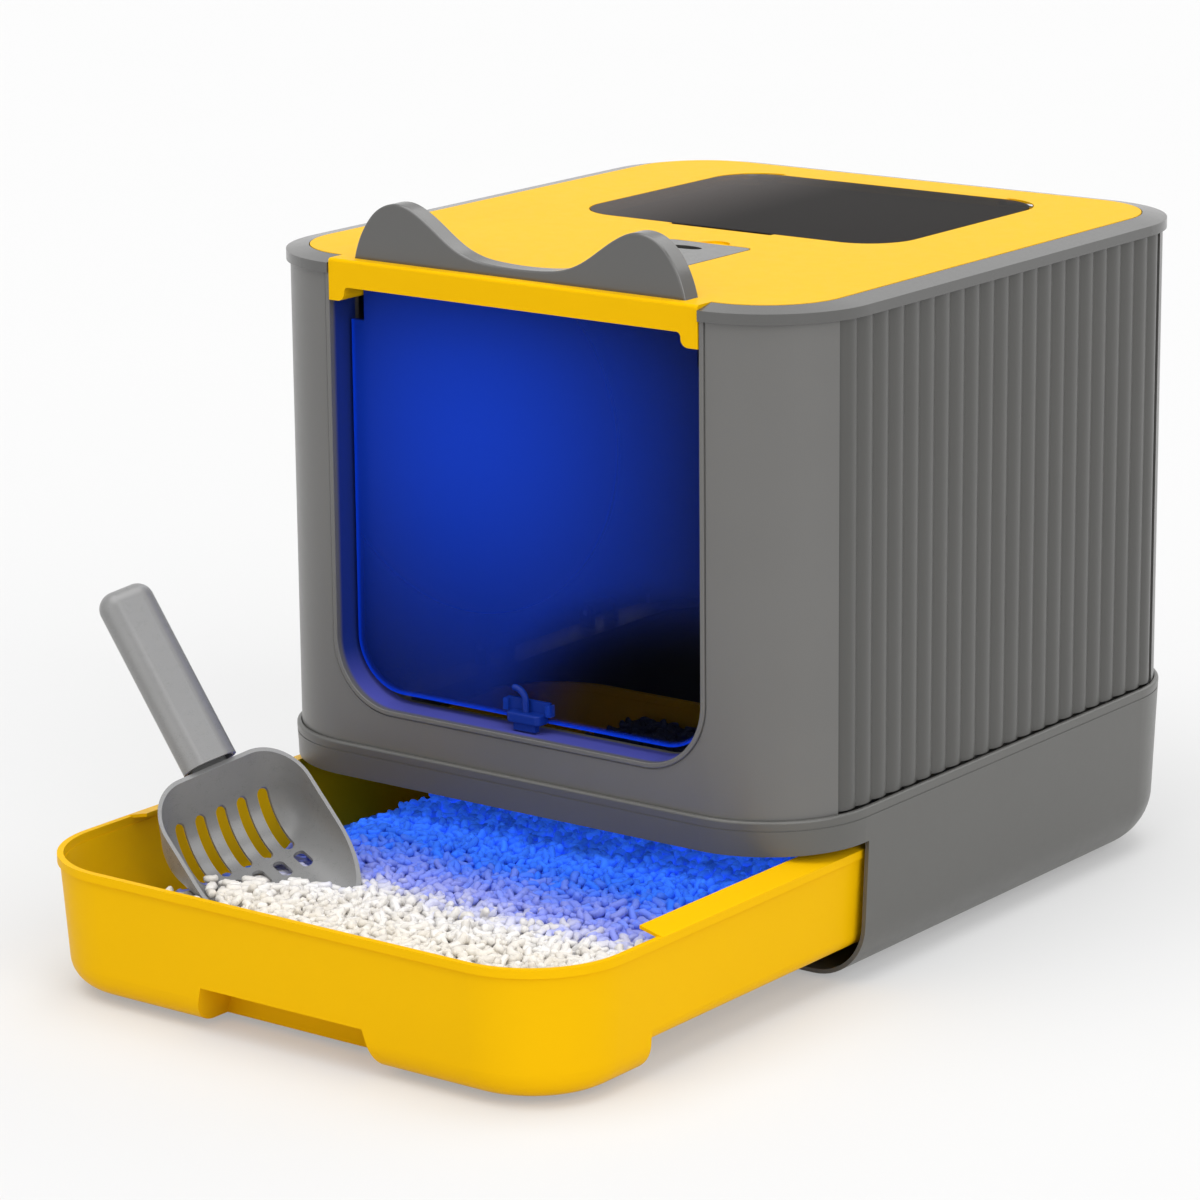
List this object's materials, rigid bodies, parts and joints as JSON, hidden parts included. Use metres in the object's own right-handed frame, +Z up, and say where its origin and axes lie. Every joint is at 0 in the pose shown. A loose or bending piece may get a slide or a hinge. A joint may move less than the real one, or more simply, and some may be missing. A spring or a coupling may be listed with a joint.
{
  "type": "foldable litter box",
  "caption": "Covered cat litter box with folding ribbed walls, see-through swing flap, top hatch, ears, sliding litter drawer and slotted scoop.",
  "frame": {"origin": "bottom centre of the bounding box in the pictured pose, with the drawer pulled out; Z = 0 is the undersides of the feet", "axes": "+X to the right seen from the front, +Y from the doorway to the back, +Z up"},
  "size_m": [0.4062, 0.6651, 0.4403],
  "materials": {
    "grey_plastic": "fine moulded grain",
    "yellow_plastic": "satin moulded",
    "smoked_clear": "polished",
    "blue_clear": "polished",
    "blue_plastic": "polished",
    "pin_steel": "drawn wire",
    "black_rubber": "moulded",
    "litter_pellets": "loose pellets",
    "charcoal_felt": "pressed felt"
  },
  "bodies": {
    "base": {"base_tub": "grey_plastic", "rubber_feet": "black_rubber", "panel_hinge_pins": "pin_steel"},
    "hood": {"front_frame": "grey_plastic", "back_panel": "grey_plastic", "top_rim": "grey_plastic", "lid": "yellow_plastic", "lid_screws": "pin_steel", "ear_plate": "grey_plastic", "ear_screws": "pin_steel", "hatch_pins": "pin_steel", "vent_cover_pins": "pin_steel", "scent_box": "grey_plastic", "charcoal_pad": "charcoal_felt", "flap_pins": "pin_steel"},
    "left_panel": {"left_side_panel": "grey_plastic"},
    "right_panel": {"right_side_panel": "grey_plastic"},
    "flap_door": {"flap": "blue_clear", "bolt_guides": "blue_clear"},
    "bolt": {"flap_bolt": "blue_plastic"},
    "hatch": {"top_hatch": "smoked_clear"},
    "cover": {"vent_cover": "grey_plastic"},
    "drawer": {"drawer_tray": "yellow_plastic", "drawer_feet": "black_rubber", "litter_bed": "litter_pellets"},
    "scoop": {"scoop_blade": "grey_plastic", "scoop_handle": "grey_plastic"}
  },
  "joints": [
    {"name": "drawer_slide", "type": "slide", "parent": "base", "child": "drawer", "axis": [0, 1, 0], "range_m": [0, 0.15]},
    {"name": "scoop_pull", "type": "slide", "parent": "drawer", "child": "scoop", "axis": [-0.3818, -0.5727, 0.7254], "range_m": [0, 0.26193]},
    {"name": "hood_lift", "type": "slide", "parent": "base", "child": "hood", "axis": [0, 0, 1], "range_m": [0, 0.06]},
    {"name": "left_panel_fold", "type": "hinge", "parent": "base", "child": "left_panel", "pos_m": [-0.1894, 0.1084, 0.114], "axis": [0, 1, 0], "range_deg": [0, 90]},
    {"name": "right_panel_fold", "type": "hinge", "parent": "base", "child": "right_panel", "pos_m": [0.1894, 0.1084, 0.121], "axis": [0, -1, 0], "range_deg": [0, 90]},
    {"name": "flap_swing", "type": "hinge", "parent": "hood", "child": "flap_door", "pos_m": [0, -0.0956, 0.388], "axis": [-1, 0, 0], "range_deg": [-75, 75]},
    {"name": "flap_bolt_slide", "type": "slide", "parent": "flap_door", "child": "bolt", "axis": [0, 0, -1], "range_m": [0, 0.005]},
    {"name": "hatch_swing", "type": "hinge", "parent": "hood", "child": "hatch", "pos_m": [0, 0.2794, 0.4035], "axis": [-1, 0, 0], "range_deg": [0, 100]},
    {"name": "vent_cover_swing", "type": "hinge", "parent": "hood", "child": "cover", "pos_m": [0.025, -0.0186, 0.4035], "axis": [1, 0, 0], "range_deg": [0, 95]}
  ],
  "couplings": [
    {"joint": "scoop_pull", "follows": "drawer_slide", "ratio": 1.7461}
  ]
}
